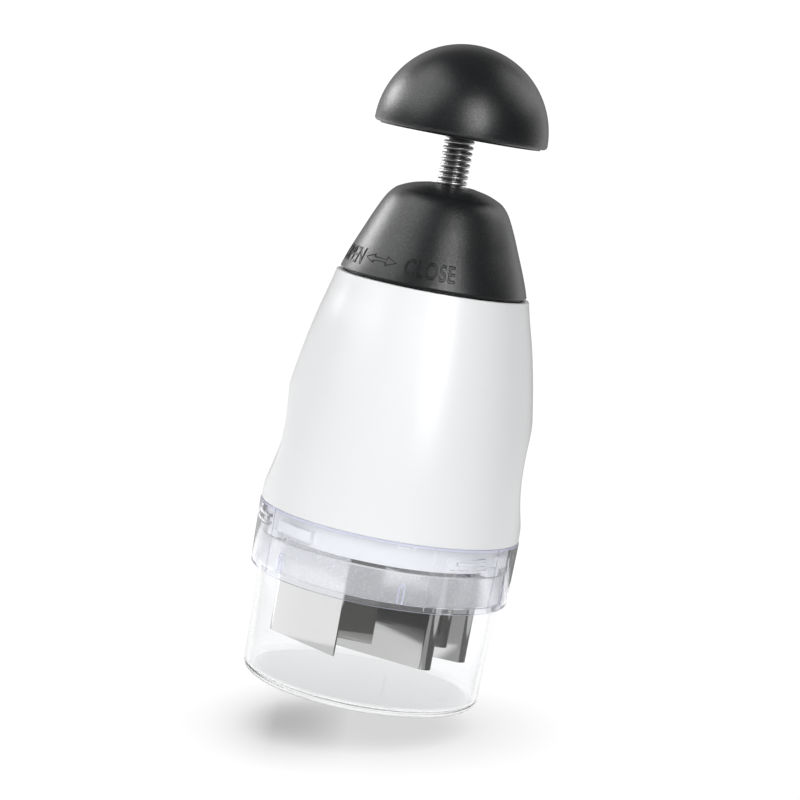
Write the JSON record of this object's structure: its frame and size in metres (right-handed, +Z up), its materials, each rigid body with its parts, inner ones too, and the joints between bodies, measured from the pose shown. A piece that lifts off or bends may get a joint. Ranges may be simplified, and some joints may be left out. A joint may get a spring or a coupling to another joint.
{
  "type": "onion chopper",
  "caption": "Push-down kitchen chopper: a palm knob on a sprung rod drives a zigzag blade through a white housing into a clear cup, and turns it a step each time.",
  "frame": {"origin": "middle of the cup's foot, on the surface that the chopper stands on", "axes": "+Z up along the rod, -Y towards the pictured front, +X to the right seen from the front"},
  "size_m": [0.09, 0.09, 0.2232],
  "materials": {
    "white_plastic": "smooth white moulded plastic with a soft gloss",
    "black_plastic": "black moulded plastic with a fine satin grain",
    "ivory_plastic": "natural acetal, smooth and slightly waxy",
    "clear_plastic": "clear moulded plastic with a frosted rim band",
    "clear_tinted_plastic": "clear moulded plastic, faintly blue at its edges",
    "steel": "bright drawn stainless steel",
    "polished_steel": "polished stainless steel"
  },
  "bodies": {
    "base": {"chopping_cup": "clear_plastic"},
    "collar": {"collar_ring": "clear_tinted_plastic"},
    "housing": {"body_shell": "white_plastic"},
    "cap_unit": {"top_cap": "black_plastic", "rod_bush": "ivory_plastic", "guide_tube": "white_plastic", "guide_tube_screw_1": "steel", "guide_tube_screw_2": "steel", "guide_tube_screw_3": "steel", "index_crown_upper": "ivory_plastic", "index_crown_lower": "ivory_plastic"},
    "plunger": {"palm_knob": "black_plastic", "knob_base": "black_plastic", "knob_cover_screw_1": "steel", "knob_cover_screw_2": "steel", "knob_cover_screw_3": "steel", "knob_washer": "steel", "knob_screw": "steel", "plunger_rod": "polished_steel", "thrust_disc": "steel", "return_spring": "steel"},
    "blade_unit": {"blade_holder": "white_plastic", "chopping_blade": "polished_steel", "index_rotor": "ivory_plastic", "rotor_screw_1": "steel", "rotor_screw_2": "steel"},
    "stripper": {"stripper_disc": "white_plastic"}
  },
  "joints": [
    {"name": "collar_turn", "type": "hinge", "parent": "base", "child": "collar", "pos_m": [0, 0, 0.0484], "axis": [0, 0, 1], "range_deg": [0, 10.5]},
    {"name": "housing_lift", "type": "slide", "parent": "base", "child": "housing", "axis": [0, 0, 1], "range_m": [0, 0.07]},
    {"name": "cap_turn", "type": "hinge", "parent": "housing", "child": "cap_unit", "pos_m": [0, 0, 0.141], "axis": [0, 0, 1], "range_deg": [0, 56]},
    {"name": "plunger_press", "type": "slide", "parent": "cap_unit", "child": "plunger", "axis": [0, 0, -1], "range_m": [0, 0.0132], "stiffness_N_per_m": 600, "springref_m": -0.015, "deforming": ["return_spring"]},
    {"name": "blade_turn", "type": "hinge", "parent": "plunger", "child": "blade_unit", "pos_m": [0, 0, 0.0957], "axis": [0, 0, 1], "range_deg": [0, 15.1]},
    {"name": "stripper_slide", "type": "slide", "parent": "blade_unit", "child": "stripper", "axis": [0, 0, 1], "range_m": [0, 0.0133]}
  ],
  "couplings": [
    {"joint": "blade_turn", "follows": "plunger_press", "rad_per_m": 19.833},
    {"joint": "stripper_slide", "follows": "plunger_press", "ratio": 1}
  ]
}
